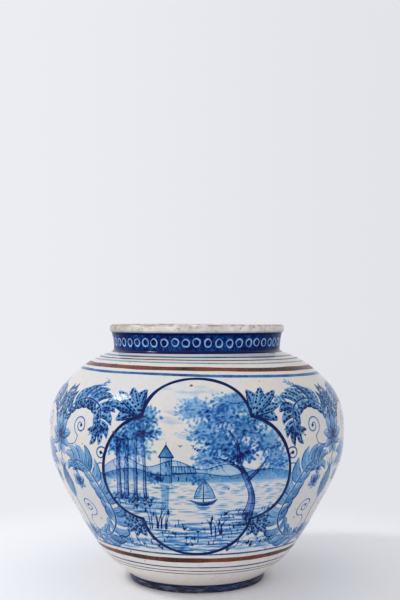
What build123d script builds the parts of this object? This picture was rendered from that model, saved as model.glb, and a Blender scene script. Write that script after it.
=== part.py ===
"""A bulbous glazed earthenware cachepot, as the five clay sections that a potter throws and lutes together.

Millimetres, +Z up. The origin is on the pot's axis, in the plane that the foot stands on.
From the ground up: a turned foot ring, a bowl with the floor, a shoulder wall, a collar and a rolled rim.
Neighbouring sections meet face to face, as they do once the slip between them is fired.
"""

import os
from math import radians, tan

from build123d import *

os.makedirs("parts", exist_ok=True)

# Outside radii, from the ground up
foot_radius = 69.5
belly_radius = 150.0
neck_root_radius = 85.5

# Heights of the sections, stacked from the ground up
foot_ring_rise = 7.7
bowl_rise = 145.3
shoulder_rise = 77.4
neck_rise = 18.8
rim_rise = 7.8

# Clay thicknesses
wall_thickness = 7.0
floor_thickness = 9.0
neck_thickness = 7.7
foot_ring_width = 11.0
rim_width = 12.4

# Joints between the sections
belly_groove_depth = 3.0
neck_seat_rise = 2.8

# Small shaping of the foot, the floor, the collar and the rim
foot_outer_taper = 1.5
foot_inner_taper = 3.0
floor_inset = 7.5
neck_flare = 2.1
rim_overhang = 1.8
rim_bevel = 2.4

# Corners of the tangent lines that the outside follows: (share of the radius step, share of the height step).
# The rounding share is how far along the shorter line at a corner its arc reaches.
# A corner without a rounding is a turn of a few degrees, as a turning tool leaves it.
bowl_corner_shares = [(1, 0.783), (0.528, 0.326), (0.366, 0.190), (0.255, 0.118)]
bowl_rounding_shares = [0.828, 0, 0, 0]
shoulder_corner_shares = [(1, 0.194), (0.853, 0.523), (0.473, 0.808), (0.302, 0.898)]
shoulder_rounding_shares = [0.467, 0.698, 0, 0]

# Where along the outside, from its widest end, the corners of the plainer inner face are set off from it
bowl_inner_shares = [0.17, 0.36, 0.68, 0.86]
shoulder_inner_shares = [0.2, 0.45, 0.7]

# Places that follow from the sizes above
foot_top = foot_ring_rise
seam_height = foot_top + bowl_rise
neck_root_height = seam_height + shoulder_rise
rim_root_height = neck_root_height + neck_rise
rim_top = rim_root_height + rim_rise
floor_top = foot_top + floor_thickness
floor_radius = foot_radius - floor_inset
belly_inner_radius = belly_radius - wall_thickness
belly_groove_radius = belly_radius - wall_thickness / 2
neck_bore_radius = neck_root_radius - neck_thickness
neck_top_radius = neck_root_radius + neck_flare
rim_radius = neck_top_radius + rim_overhang
rim_inner_radius = rim_radius - rim_width
foot_base_radius = foot_radius - foot_outer_taper
foot_inner_radius = foot_radius - foot_ring_width


def corners(low, high, shares):
    """Corners between two ends of a wall, low and high, each (radius, height)."""
    return [
        (low[0] + (high[0] - low[0]) * across, low[1] + (high[1] - low[1]) * up)
        for across, up in shares
    ]


def roundings(line, shares):
    """Radius at each corner of a line, so that the arc reaches this share of the shorter side there."""
    radii = []
    for before, corner, after, share in zip(line, line[1:], line[2:], shares):
        coming = Vector(*corner) - Vector(*before)
        going = Vector(*after) - Vector(*corner)
        reach = share * min(coming.length, going.length)
        radii.append(reach / tan(radians(coming.get_angle(going) / 2)))
    return radii


def set_off(wall, thickness, shares):
    """Corners one thickness inside a wall whose outside runs from the widest part to its narrow end."""
    inward = 1 if wall.position_at(1).Y > wall.position_at(0).Y else -1
    inside = []
    for share in shares:
        place = wall.position_at(share)
        along = wall.tangent_at(share) * inward * thickness
        inside.append((place.X - along.Y, place.Y + along.X))
    return inside


# Tangent lines of the outside, each from the widest part to its narrow end
bowl_line = [
    (belly_radius, seam_height),
    *corners((foot_radius, foot_top), (belly_radius, seam_height), bowl_corner_shares),
    (foot_radius, foot_top),
]
shoulder_line = [
    (belly_radius, seam_height),
    *corners((neck_root_radius, seam_height), (belly_radius, neck_root_height), shoulder_corner_shares),
    (neck_root_radius, neck_root_height),
]

# The seam at the widest part is a groove in the bowl's edge, which the shoulder's pointed edge fits
belly_seam = [
    (belly_inner_radius, seam_height),
    (belly_groove_radius, seam_height - belly_groove_depth),
    (belly_radius, seam_height),
]

# Turned foot ring, luted under the bowl
with BuildPart() as foot_ring:
    with BuildSketch(Plane.XZ):
        with BuildLine():
            Polyline(
                (foot_inner_radius, foot_top),
                (foot_radius, foot_top),
                (foot_base_radius, 0),
                (foot_inner_radius + foot_inner_taper, 0),
                close=True,
            )
        make_face()
    revolve(axis=Axis.Z)

# Thrown bowl: the floor and the wall up to the widest part
with BuildPart() as lower_bowl:
    with BuildSketch(Plane.XZ):
        with BuildLine():
            bowl_outside = FilletPolyline(*bowl_line, radius=roundings(bowl_line, bowl_rounding_shares))
            Polyline(
                (foot_radius, foot_top),
                (0, foot_top),
                (0, floor_top),
                (floor_radius, floor_top),
                *reversed(set_off(bowl_outside, wall_thickness, bowl_inner_shares)),
                *belly_seam,
            )
        make_face()
    revolve(axis=Axis.Z)

# Thrown shoulder wall, closed in from the widest part to the opening under the collar
with BuildPart() as shoulder_wall:
    with BuildSketch(Plane.XZ):
        with BuildLine():
            shoulder_outside = FilletPolyline(
                *shoulder_line, radius=roundings(shoulder_line, shoulder_rounding_shares)
            )
            Polyline(
                (neck_root_radius, neck_root_height),
                (neck_bore_radius, neck_root_height + neck_seat_rise),
                (neck_bore_radius, neck_root_height + neck_seat_rise - wall_thickness),
                *reversed(set_off(shoulder_outside, wall_thickness, shoulder_inner_shares)),
                *belly_seam,
            )
        make_face()
    revolve(axis=Axis.Z)

# Thrown collar, widening a little upwards, seated on the shoulder's sloping edge
with BuildPart() as neck_collar:
    with BuildSketch(Plane.XZ):
        with BuildLine():
            Polyline(
                (neck_root_radius, neck_root_height),
                (neck_top_radius, rim_root_height),
                (neck_bore_radius, rim_root_height),
                (neck_bore_radius, neck_root_height + neck_seat_rise),
                close=True,
            )
        make_face()
    revolve(axis=Axis.Z)

# Rolled rim, a coil with eased upper edges that stands a little proud of the collar
with BuildPart() as rim_roll:
    with BuildSketch(Plane.XZ) as rim_section:
        with BuildLine():
            Polyline(
                (rim_inner_radius, rim_root_height),
                (rim_radius, rim_root_height),
                (rim_radius, rim_top),
                (rim_inner_radius, rim_top),
                close=True,
            )
        make_face()
        chamfer(rim_section.vertices().group_by(Axis.Y)[-1], rim_bevel)
    revolve(axis=Axis.Z)

sections = {
    "foot_ring": foot_ring,
    "lower_bowl": lower_bowl,
    "shoulder_wall": shoulder_wall,
    "neck_collar": neck_collar,
    "rim_roll": rim_roll,
}
for name, section in sections.items():
    section.part.label = name
    export_step(section.part, f"parts/{name}.step")
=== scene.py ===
"""Looks of the cachepot: thrown and turned clay under a tin glaze, painted by hand in cobalt.

Lengths are in millimetres on the pot's own axis, and become metres where a mesh is made.
The outer wall is a canvas of rings and columns of vertices. The painting is laid on it with brush strokes,
each as a distance to the edge of the paint or a strength of wash, and the glaze materials read those values.
Angle 0 faces the camera, and angles grow to the viewer's right.
"""

import math

import bpy
import numpy as np
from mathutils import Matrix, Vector


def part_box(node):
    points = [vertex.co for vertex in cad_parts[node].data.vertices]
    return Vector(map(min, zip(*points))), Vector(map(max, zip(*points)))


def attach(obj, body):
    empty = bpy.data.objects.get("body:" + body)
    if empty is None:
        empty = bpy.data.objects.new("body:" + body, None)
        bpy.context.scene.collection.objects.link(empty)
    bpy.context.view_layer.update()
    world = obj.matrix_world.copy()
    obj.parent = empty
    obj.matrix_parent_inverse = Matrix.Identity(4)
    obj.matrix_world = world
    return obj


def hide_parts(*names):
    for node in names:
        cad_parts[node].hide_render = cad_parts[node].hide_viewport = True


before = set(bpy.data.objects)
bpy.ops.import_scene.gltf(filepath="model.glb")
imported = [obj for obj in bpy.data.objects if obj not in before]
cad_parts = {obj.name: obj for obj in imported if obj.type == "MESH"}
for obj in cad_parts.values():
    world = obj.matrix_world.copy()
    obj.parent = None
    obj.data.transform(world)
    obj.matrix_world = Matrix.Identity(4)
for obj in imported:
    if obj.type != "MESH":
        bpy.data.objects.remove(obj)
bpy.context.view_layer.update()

MM = 0.001
TURN = 2 * math.pi


def cad_size(node):
    """Outside radius, lowest height and highest height of a CAD node, in mm."""
    low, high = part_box(node)
    return high.x / MM, low.z / MM, high.z / MM


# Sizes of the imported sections
foot_radius, _, foot_top = cad_size("foot_ring")
belly_radius, _, seam_height = cad_size("lower_bowl")
_, _, seat_top = cad_size("shoulder_wall")
neck_top_radius, neck_root_height, neck_top = cad_size("neck_collar")
rim_radius, _, rim_top = cad_size("rim_roll")

# Clay sizes that a box doesn't give
wall_thickness = 7.0
floor_thickness = 9.0
foot_ring_width = 11.0
foot_outer_taper = 1.5
foot_inner_taper = 3.0
foot_edge_rounding = 1.4
floor_inset = 7.5
neck_flare = 2.1
neck_waist = 0.7
neck_thickness = 7.7
rim_width = 12.4
rim_rounding = 3.0
rim_lower_rounding = 2.2
groove_depth = 3.0

neck_root_radius = neck_top_radius - neck_flare
neck_bore_radius = neck_root_radius - neck_thickness
rim_bore_radius = rim_radius - rim_width
floor_top = foot_top + floor_thickness
floor_radius = foot_radius - floor_inset
foot_inner_radius = foot_radius - foot_ring_width
foot_base_radius = foot_radius - foot_outer_taper

# The outside as shares of the step from the narrow end to the widest part: (radius, height)
bowl_shares = [(0, 0), (0.294, 0.139), (0.513, 0.309), (0.691, 0.479), (0.857, 0.649), (0.969, 0.819), (1, 1)]
shoulder_shares = [(1, 0), (0.975, 0.222), (0.870, 0.457), (0.626, 0.696), (0.381, 0.857), (0, 1)]

# Fineness of the meshes
columns = 1440
paint_spacing = 0.65
plain_spacing = 4.0
column_angles = np.arange(columns) / columns * TURN - math.pi

# How far from its edge the paint's values go, in mm
far = 3.0

# Lengths that count as none: to divide by, and from the pot's axis
tiny = 1e-9
axis_gap = 0.001


def run_along(line):
    """How far along a line each of its points lies."""
    return np.concatenate([[0], np.cumsum(np.hypot(*np.diff(line, axis=0).T))])


def headings(line):
    """The unit step along a line at each of its points, and the unit step to its left."""
    along = np.gradient(line, axis=0)
    along /= np.maximum(np.hypot(*along.T), tiny)[:, None]
    return along, np.column_stack([-along[:, 1], along[:, 0]])


def points_at(line, run, places):
    """Points of a line at places on its run."""
    return np.column_stack([np.interp(places, run, side) for side in line.T])


def spread_evenly(points, spacing):
    """The line through the points, redrawn with points about this far apart."""
    points = np.asarray(points, float)
    run = run_along(points)
    count = max(2, int(round(run[-1] / spacing)) + 1)
    return points_at(points, run, np.linspace(0, run[-1], count))


def smooth_through(points, pieces=24):
    """A smooth line through the points, with this many pieces from each to the next."""
    points = np.asarray(points, float)
    gaps = np.hypot(*np.diff(points, axis=0).T)
    slopes = np.diff(points, axis=0) / gaps[:, None]
    weights = gaps[1:, None] / (gaps[1:, None] + gaps[:-1, None])
    inner = slopes[:-1] * weights + slopes[1:] * (1 - weights)
    tangents = np.vstack([slopes[:1] * 1.5 - inner[:1] * 0.5, inner, slopes[-1:] * 1.5 - inner[-1:] * 0.5])
    t = np.linspace(0, 1, pieces, endpoint=False)[:, None]
    line = []
    for k, gap in enumerate(gaps):
        start, end = points[k], points[k + 1]
        leave, arrive = tangents[k] * gap, tangents[k + 1] * gap
        line.append(
            (2 * t**3 - 3 * t**2 + 1) * start
            + (t**3 - 2 * t**2 + t) * leave
            + (3 * t**2 - 2 * t**3) * end
            + (t**3 - t**2) * arrive
        )
    return np.vstack([*line, points[-1:]])


def round_about(centre, across, up, angles):
    """Points at angles in radians, this far sideways and up from a centre."""
    return np.column_stack([centre[0] + across * np.cos(angles), centre[1] + up * np.sin(angles)])


def arc(centre, radius, start, end, spacing=0.6):
    """Points on a round stretch of a profile, its angles in degrees from the radius axis."""
    count = max(4, int(abs(math.radians(end - start)) * radius / spacing) + 1)
    return round_about(centre, radius, radius, np.radians(np.linspace(start, end, count)))


def chain(*parts):
    """A profile through points and stretches, with a number between each two: the spacing of the points
    that join them."""
    line = np.atleast_2d(parts[0])
    for spacing, part in zip(parts[1::2], parts[2::2]):
        part = np.atleast_2d(part)
        line = np.vstack([line, spread_evenly([line[-1], part[0]], spacing)[1:-1], part])
    return line


def between(low, high, shares):
    """Points (radius, height) at shares of the step between two corners."""
    return [(low[0] + (high[0] - low[0]) * across, low[1] + (high[1] - low[1]) * up) for across, up in shares]


# Outer lines of the wall
bowl_line = smooth_through(between((foot_radius, foot_top), (belly_radius, seam_height), bowl_shares))
shoulder_line = smooth_through(
    between((neck_root_radius, seam_height), (belly_radius, neck_root_height), shoulder_shares)
)


class Layers(dict):
    """Values of the paint at every vertex of a canvas: distances inside a brush line in mm, or strengths."""

    edges = ("dark", "fine", "brown", "pale")
    strengths = ("fine_tone", "wash", "violet")

    @classmethod
    def blank(cls, shape):
        layers = cls()
        for name in cls.edges:
            layers[name] = np.full(shape, -far)
        for name in cls.strengths:
            layers[name] = np.zeros(shape)
        return layers


def waves(rng, counts, least, most):
    """An uneven swing round the pot: a sum of waves of random strength, one for each count of turns."""
    return sum(rng.uniform(least, most) * np.sin(k * column_angles + rng.uniform(0, TURN)) for k in counts)


class Canvas:
    """The painted outside of one or more pieces, from its lowest ring to its highest."""

    def __init__(self, line, origin_height):
        self.radii, self.heights = line.T
        run = run_along(line)
        self.up = run - np.interp(origin_height, self.heights, run)
        self.layers = Layers.blank((len(line), columns))

    def up_at(self, height):
        """How far up the wall a height lies, from the canvas's origin."""
        return np.interp(height, self.heights, self.up)

    def band(self, height, width, layer, tone, tilt, rng):
        """A line drawn round the pot on the wheel, with the small waver of a hand."""
        middle = self.up_at(height - tilt * np.sin(column_angles)) + waves(rng, range(1, 9), 0.02, 0.12)
        press = 1 + waves(rng, (2, 3, 5, 9, 14, 23), 0.01, 0.05)
        inside = width / 2 * press[None, :] - np.abs(self.up[:, None] - middle[None, :])
        better = inside > self.layers[layer]
        self.layers[layer] = np.where(better, inside, self.layers[layer])
        if layer == "fine":
            self.layers["fine_tone"] = np.where(better & (inside > -far / 2), tone, self.layers["fine_tone"])


class Sheet:
    """Part of a canvas round an upright line, laid flat: x to the viewer's right, y up the wall, in mm."""

    def __init__(self, canvas, centre, half_width, height, seed):
        self.canvas = canvas
        self.rng = np.random.default_rng(seed)
        step = TURN / columns
        reach = min(int(half_width / canvas.radii.min() / step) + 2, columns // 2)
        first = int(round((math.radians(centre) + math.pi) / step))
        self.picks = np.arange(first - reach, first + reach)
        self.turn = (self.picks - first) * step
        self.y = canvas.up - canvas.up_at(height)
        self.layers = {name: grid[:, self.picks % columns] for name, grid in canvas.layers.items()}
        self.limit = None

    def keep(self):
        """Puts what was painted on the sheet back on the canvas."""
        for name, grid in self.layers.items():
            self.canvas.layers[name][:, self.picks % columns] = grid

    def grid(self):
        """x and y of every vertex of the sheet."""
        x = self.canvas.radii[:, None] * self.turn[None, :]
        return x, np.broadcast_to(self.y[:, None], x.shape)

    def window(self, points, margin):
        """The rows and columns that hold some points and a margin round them, with x and y there.
        It is None where they lie off the sheet."""
        low, high = points.min(0) - margin, points.max(0) + margin
        rows = slice(np.searchsorted(self.y, low[1]), np.searchsorted(self.y, high[1]))
        radii = self.canvas.radii[rows]
        if not len(radii):
            return None
        turns = [edge / radius for edge in (low[0], high[0]) for radius in (radii.min(), radii.max())]
        across = slice(np.searchsorted(self.turn, min(turns)), np.searchsorted(self.turn, max(turns)))
        turn = self.turn[across]
        if not len(turn):
            return None
        return (rows, across), radii[:, None] * turn[None, :], self.y[rows][:, None]

    def segments(self, points, halves, margin):
        """Each straight piece of a brush line on the sheet: its ends, half widths and the window round it."""
        for start, end, near, wide in zip(points, points[1:], halves, halves[1:]):
            found = self.window(np.array([start, end]), max(near, wide) + margin)
            if found is not None:
                yield start, end, near, wide, found

    def line(self, points, widths, tone=None):
        """A brush line with a crisp edge: dark, or fine where it has a tone of its own."""
        points, halves = as_brush(points, widths)
        name = "dark" if tone is None else "fine"
        for start, end, near, wide, (part, x, y) in self.segments(points, halves, far / 2):
            distance, share = to_segment(x, y, start, end)
            inside = near + (wide - near) * share - distance
            if self.limit is not None:
                inside = np.minimum(inside, self.limit[part])
            better = inside > self.layers[name][part]
            self.layers[name][part] = np.where(better, inside, self.layers[name][part])
            if tone is not None:
                self.layers["fine_tone"][part] = np.where(better, tone, self.layers["fine_tone"][part])

    def brush(self, points, widths, tone, dry=0.3, soft=0.7, layer="wash", fresh=False):
        """A loaded brush stroke with a soft edge and the streaks of its bristles, on bare glaze if fresh."""
        points, halves = as_brush(points, widths)
        start_of_streaks = self.rng.uniform(0, 9)
        whole = self.window(points, halves.max() + soft)
        if whole is None:
            return
        part, x, y = whole
        y = np.broadcast_to(y, x.shape)
        inside = np.full(x.shape, -far)
        across = np.zeros(x.shape)
        for start, end, near, wide, (spans, _, _) in self.segments(points, halves, soft):
            here = tuple(
                slice(max(span.start, full.start) - full.start, min(span.stop, full.stop) - full.start)
                for span, full in zip(spans, part)
            )
            distance, share = to_segment(x[here], y[here], start, end)
            gain = near + (wide - near) * share - distance
            side = (x[here] - start[0]) * (end[1] - start[1]) - (y[here] - start[1]) * (end[0] - start[0])
            better = gain > inside[here]
            inside[here] = np.where(better, gain, inside[here])
            across[here] = np.where(better, np.sign(side) * distance, across[here])
        if self.limit is not None:
            inside = np.minimum(inside, self.limit[part])
        cover = np.clip(inside / soft + 0.5, 0, 1)
        bristles = np.sin(across * 4.1 + start_of_streaks) * np.cos(across * 1.7 + start_of_streaks * 2.3)
        load = tone * cover * (1 - dry * (0.5 + 0.5 * bristles))
        below = self.layers[layer][part]
        if fresh:
            hidden = inside > 0
            below[hidden] = 0
            for name in ("dark", "fine"):
                self.layers[name][part][hidden] = -far
        more = np.maximum(below, load)
        self.layers[layer][part] = more + 0.6 * np.minimum(below, load) * (1 - more)

    def wipe(self, inside):
        """Bares the glaze wherever a distance grid is inside."""
        hidden = inside > 0
        for name in Layers.edges:
            self.layers[name][hidden] = -far
        for name in Layers.strengths:
            self.layers[name][hidden] = 0


def as_brush(points, widths):
    """Points as an array, and half the width of the brush at each, from a few widths along the line."""
    points = np.asarray(points, float)
    widths = np.asarray(widths, float)
    if len(points) < len(widths):
        marks = np.linspace(0, len(points) - 1, 2 * len(widths) - 1)
        points = points_at(points, np.arange(len(points)), marks)
    shares = np.linspace(0, 1, len(widths))
    return points, np.interp(np.linspace(0, 1, len(points)), shares, widths) / 2


def sides_of(points, widths):
    """The left and the right edge of a brush line."""
    points, halves = as_brush(points, widths)
    out = headings(points)[1] * halves[:, None]
    return points + out, points - out


def to_segment(x, y, start, end):
    """Distance of a grid to a straight piece of a line, and the share of it where each is nearest."""
    step = np.asarray(end) - start
    length = max(float(step @ step), tiny)
    share = np.clip(((x - start[0]) * step[0] + (y - start[1]) * step[1]) / length, 0, 1)
    return np.hypot(x - start[0] - share * step[0], y - start[1] - share * step[1]), share


def curve(*points, pieces=8):
    """A smooth hand-drawn line through a few points."""
    return smooth_through(points, pieces) if len(points) > 2 else np.asarray(points, float)


def loop(centre, wide, high, start=0.0, end=360.0, count=40):
    """Points on an oval, its angles in degrees."""
    return round_about(centre, wide, high, np.radians(np.linspace(start, end, count)))


def spiral(centre, radius, turns, start, inner=0.12, count=60):
    """Points on a scroll that winds in to its centre. Start is in degrees, and turns may be negative."""
    share = np.linspace(0, 1, count)
    reach = radius * (1 - share * (1 - inner))
    return round_about(centre, reach, reach, np.radians(start) + share * turns * TURN)


def headed(angle):
    """A unit step in a direction, in radians, and the unit step to its left."""
    return np.array([math.cos(angle), math.sin(angle)]), np.array([-math.sin(angle), math.cos(angle)])


def shaken(points, rng, amount):
    """Points moved a little, as by a hand."""
    points = np.asarray(points, float)
    share = np.linspace(0, 1, len(points))[:, None]
    waver = sum(rng.normal(0, amount, 2) * np.sin(share * k * 3.1 + rng.uniform(0, TURN)) for k in (1, 2, 4))
    return points + waver


def hatch(sheet, start, end, count, widths, tones):
    """Brush strokes side by side, from places along one line to places along another."""
    start, end = np.asarray(start, float), np.asarray(end, float)
    for share in (np.arange(count) + 0.5) / count:
        ends = [side[0] + (side[1] - side[0]) * share for side in (start, end)]
        sheet.brush(ends, widths, tones[0] + (tones[1] - tones[0]) * share, 0.35, 0.6)


# Motifs of the foliage


def lobe(sheet, spine, widths, tone, spotted=True):
    """One lobe of a leaf or a petal: a streaky pool of paint, shaded on its lower side and softly outlined,
    with dark spots in rows or with veins."""
    rng = sheet.rng
    widths = np.asarray(widths, float)
    sheet.brush(spine, widths, tone * 0.8, 0.45, 0.6, fresh=True)
    left, right = sides_of(spine, widths)
    middle = (left + right) / 2
    low, high = (left, right) if left[:, 1].sum() < right[:, 1].sum() else (right, left)
    sheet.brush((middle + low * 1.3) / 2.3, widths * 0.46, tone * rng.uniform(0.55, 0.85), 0.4, 0.8)
    sheet.line(shaken(high, rng, 0.08), (0.5, 0.9, 0.5), tone * 0.75)
    sheet.line(shaken(low, rng, 0.08), (0.5, 1.4, 0.6), min(tone * 1.15, 1))
    if not spotted:
        sheet.line(middle[: int(len(middle) * 0.8)], (0.9, 0.4), tone * 0.9)
        sheet.line(((middle + high) / 2)[1 : int(len(middle) * 0.7)], (0.6, 0.3), tone * 0.6)
        return
    steps = np.diff(middle, axis=0)
    count = max(3, int(np.hypot(*steps.T).sum() / 3.9))
    for k in range(count):
        place = min(int((k + 0.8) / (count + 0.4) * len(steps)), len(steps) - 1)
        half = left[place] - middle[place]
        ahead = steps[place] / np.hypot(*steps[place])
        for across in (-0.5, 0.5) if np.hypot(*half) > 2.5 else (0,):
            spot = middle[place] + half * across + steps[place] * (across * 1.2)
            sheet.line([spot, spot + ahead * rng.uniform(0.4, 1.1)], (rng.uniform(1.8, 2.5),))


def leaf(sheet, spine, size, tone, sides, spotted=True):
    """A full curling leaf along a spine: lobes that overlap from its tip down to its root, and a dark midrib.
    Sides are how far its left and right lobes reach, as shares of the size."""
    rng = sheet.rng
    spine = np.asarray(spine, float)
    steps, lefts = headings(spine)
    lobes = max(3, int(round(np.hypot(*np.gradient(spine, axis=0).T).sum() / (size * 0.62))))
    for k in reversed(range(lobes)):
        share = 0.03 + 0.87 * k / (lobes - 1)
        place = int(share * (len(spine) - 1))
        root, ahead = spine[place], steps[place]
        swell = math.sin(math.pi * (0.2 + 0.7 * share)) ** 0.7
        for side, reach in zip((1, -1), sides):
            out = lefts[place] * side
            length = size * swell * reach * rng.uniform(0.94, 1.06)
            bend = root + ahead * length * 0.3 + out * length * 0.52
            tip = root + ahead * length * 1.05 + out * length * 0.78
            widths = length * np.array([0.5, 0.6, 0.56, 0.4, 0.06])
            lobe(sheet, curve(root, bend, tip, pieces=6), widths, tone * rng.uniform(0.78, 1.16), spotted)
    sheet.brush(spine, (size * 0.1, size * 0.13, size * 0.06), tone * 0.7, 0.1, 0.5, fresh=True)
    sheet.line(spine, (0.7, 1.4, 1.1, 0.5))


def blossom(sheet, centre, radius, petals, tone, turn):
    """An open flower: two rings of petals round a dark heart, the inner ring half a petal on."""
    rng = sheet.rng
    centre = np.asarray(centre, float)
    for reach, shift, strength in ((1.0, 0.0, tone), (0.62, 0.5, tone * 1.4)):
        for k in range(petals):
            along, _ = headed(math.radians(turn) + (k + shift) * TURN / petals + rng.normal(0, 0.03))
            length = radius * reach * rng.uniform(0.94, 1.05)
            wide = length * 3.6 / petals
            petal = [centre + along * length * 0.12, centre + along * length]
            lobe(sheet, petal, wide * np.array([0.35, 0.75, 1.0, 0.85, 0.15]), strength, False)
    sheet.brush(loop(centre, radius * 0.1, radius * 0.1), (radius * 0.24,), 0.9)


def seed_head(sheet, base, length, tone=0.6):
    """An upright scaly seed head with a crown, its scales drawn as rows of dark dabs."""
    x, y = base
    top = y + length
    wide = length * 0.62
    swell = wide * np.array([0.45, 0.95, 1, 0.8, 0.3])
    sheet.brush([base, (x, top)], swell, tone, 0.15, 0.9, fresh=True)
    rows = max(4, int(length / 3.3))
    for row in range(rows):
        share = (row + 0.6) / rows
        spread = wide * 0.4 * math.sin(math.pi * (0.12 + 0.8 * share)) ** 0.6
        for place in np.linspace(-1, 1, 3 + row % 2 + (spread > 6)):
            spot = np.array([x + place * spread, y + length * share])
            sheet.line([spot, spot + (-place * 0.4, 1.1)], (1.5, 0.7))
    for side in (-1, 1):
        sheet.line(curve(base, (x + side * wide * 0.5, y + length * 0.5), (x, top)), (0.6, 1.3, 0.6))
        for reach in (0.15, 0.34):
            tip = (x + side * length * reach, top + length * (0.42 - reach * 0.4))
            sheet.brush([(x, top - 1), tip], (1.8, 2.8, 0.5), tone, 0.3)
            sheet.line([(x, top), tip], (0.9, 0.3))


def tendril(sheet, start, centre, radius, turns, angle, tone=0.74, width=1.25):
    """A thin stem that leaves a point and winds up into a scroll, with a bud at its heart."""
    wound = spiral(centre, radius, turns, angle)
    tangent = wound[1] - wound[0]
    gap = wound[0] - np.asarray(start, float)
    lead = wound[0] - tangent / np.hypot(*tangent) * np.hypot(*gap) * 0.4
    stem = curve(start, (wound[0] - gap / 2) * 0.5 + lead * 0.5, wound[0], pieces=6)
    whole = shaken(np.vstack([stem[:-1], wound]), sheet.rng, 0.15)
    sheet.line(whole, (width * 0.7, width, width * 1.1, width * 0.6), tone)
    sheet.line([wound[-1], wound[-1] + (0.2, 0.2)], (width * 2.6,), tone * 1.25)


def sprig(sheet, start, heading, length, tone, leaves=5):
    """A short twig with a pair of small leaves at each step."""
    along, out = headed(math.radians(heading))
    start = np.asarray(start, float)
    bow = out * length * sheet.rng.uniform(-0.15, 0.15)
    stem = curve(start, start + along * length * 0.5 + bow, start + along * length, pieces=5)
    sheet.line(stem, (1.0, 0.4), tone * 1.2)
    for k in range(leaves):
        root = stem[int((k + 0.7) / (leaves + 0.2) * (len(stem) - 1))]
        reach = length * 0.34 * (1 - 0.45 * k / leaves)
        for side in (-1, 1):
            tip = root + along * reach * 0.8 + out * side * reach * 0.8
            bend = (root + tip) / 2 + along * 0.4
            sheet.brush([root, bend, tip], (0.8, reach * 0.48, 0.3), tone * 1.1, 0.2, 0.5)


def palmette(sheet, root, heading, length, tone=0.76, fan=40.0):
    """A fan of five long round lobes from one point, the middle one on top."""
    root = np.asarray(root, float)
    widths = length * np.array([0.08, 0.2, 0.28, 0.26, 0.06])
    for place in (-1, 1, -0.5, 0.5, 0):
        along, out = headed(math.radians(heading + place * fan))
        reach = length * (1 - 0.24 * abs(place)) * sheet.rng.uniform(0.96, 1.04)
        bend = root + along * reach * 0.55 - out * place * 0.5
        tip = root + along * reach + out * place * reach * 0.25
        lobe(sheet, curve(root, bend, tip), widths, tone * sheet.rng.uniform(0.92, 1.08))


# Motifs of the landscapes


def clump(sheet, centre, wide, high, tone, strokes):
    """A mass of foliage: curved strokes that darken downwards, a fringe of leaves, and dark touches below."""
    rng = sheet.rng
    x, y = centre

    def spot(angle, depth):
        return np.array([x + wide * depth * math.cos(angle), y + high * depth * math.sin(angle)])

    for rise in np.linspace(0.62, -0.62, max(4, strokes // 11)):
        reach = wide * math.sqrt(1 - rise**2) * rng.uniform(0.72, 0.95)
        level = y + high * rise
        middle, ends = x + rng.normal(0, wide * 0.06), level - high * 0.1
        top = (middle, level + high * 0.24)
        stroke = curve((middle - reach, ends), top, (middle + reach, ends), pieces=6)
        widths = (1.0, high * 0.5, high * 0.56, high * 0.4, 1.0)
        sheet.brush(stroke, widths, tone * (0.82 - 0.3 * rise) * rng.uniform(0.9, 1.1), 0.45, 1.3)
    for share in np.arange(strokes) / strokes:
        angle = share * TURN * 3 + rng.normal(0, 0.1)
        depth = (1.0, 0.74, 0.44)[int(share * 3)]
        place = spot(angle, depth)
        along, _ = headed(angle + rng.normal(0, 0.5))
        lit = 1.02 - 0.22 * math.sin(angle) * depth
        blade = [place, place + along * rng.uniform(2.2, 4.2)]
        widths = (0.9, rng.uniform(1.8, 2.8), 0.4)
        sheet.brush(blade, widths, min(tone * lit * rng.uniform(0.8, 1.2), 1), 0.2)
    for _ in range(strokes // 4):
        place = spot(rng.uniform(math.pi * 0.95, math.pi * 2.05), rng.uniform(0.15, 0.85))
        touch = curve(place, place + (1.4, 0.9), place + (3.2, 0), pieces=4)
        sheet.brush(touch, (0.6, rng.uniform(1.1, 1.9), 0.5), min(tone * 1.55, 1), 0.1, 0.5)


def trunk(sheet, points, widths, tone=0.62, shade=0.6):
    """A trunk or bough: a streaky body, a violet shade and a dark line down its right side."""
    line = curve(*points, pieces=10)
    widths = np.asarray(widths, float)
    sheet.brush(line, widths, tone, 0.5)
    sheet.brush(line + (widths[0] * 0.16, 0), widths * 0.5, shade, 0.4)
    sheet.brush(line, widths, shade, 0.2, layer="violet")
    for edge, press in zip(sides_of(line, widths), (0.8, 1.2)):
        sheet.line(shaken(edge, sheet.rng, 0.2), (press, press * 0.7, 0.4), 0.95)


def broad_tree(sheet, foot, flip):
    """A leaning broad-leaved tree whose crown spreads over the water, to the left where flip is 1."""

    def place(x, y):
        return foot[0] - flip * x, foot[1] + y

    trunk(sheet, [place(0, 0), place(-4, 24), place(3, 46), place(14, 66)], (9, 5.6, 4.6, 2.6))
    for bough in (
        ((0, 40), (-12, 52), (-20, 62)),
        ((4, 48), (18, 58), (32, 62)),
        ((8, 58), (10, 74), (18, 86)),
    ):
        trunk(sheet, [place(*point) for point in bough], (2.8, 1.8, 0.8))
    for x, y, wide, high, tone in (
        (-28, 58, 14, 9, 0.42),
        (-20, 74, 17, 10, 0.5),
        (36, 60, 13, 8, 0.4),
        (24, 74, 16, 9, 0.54),
        (6, 66, 14, 8, 0.68),
        (38, 84, 16, 9, 0.42),
        (2, 86, 19, 10, 0.6),
        (20, 98, 20, 10, 0.52),
        (-14, 98, 18, 10, 0.46),
        (46, 104, 18, 10, 0.42),
        (12, 112, 26, 9, 0.5),
    ):
        clump(sheet, place(x, y), wide, high, tone, 70)


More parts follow.
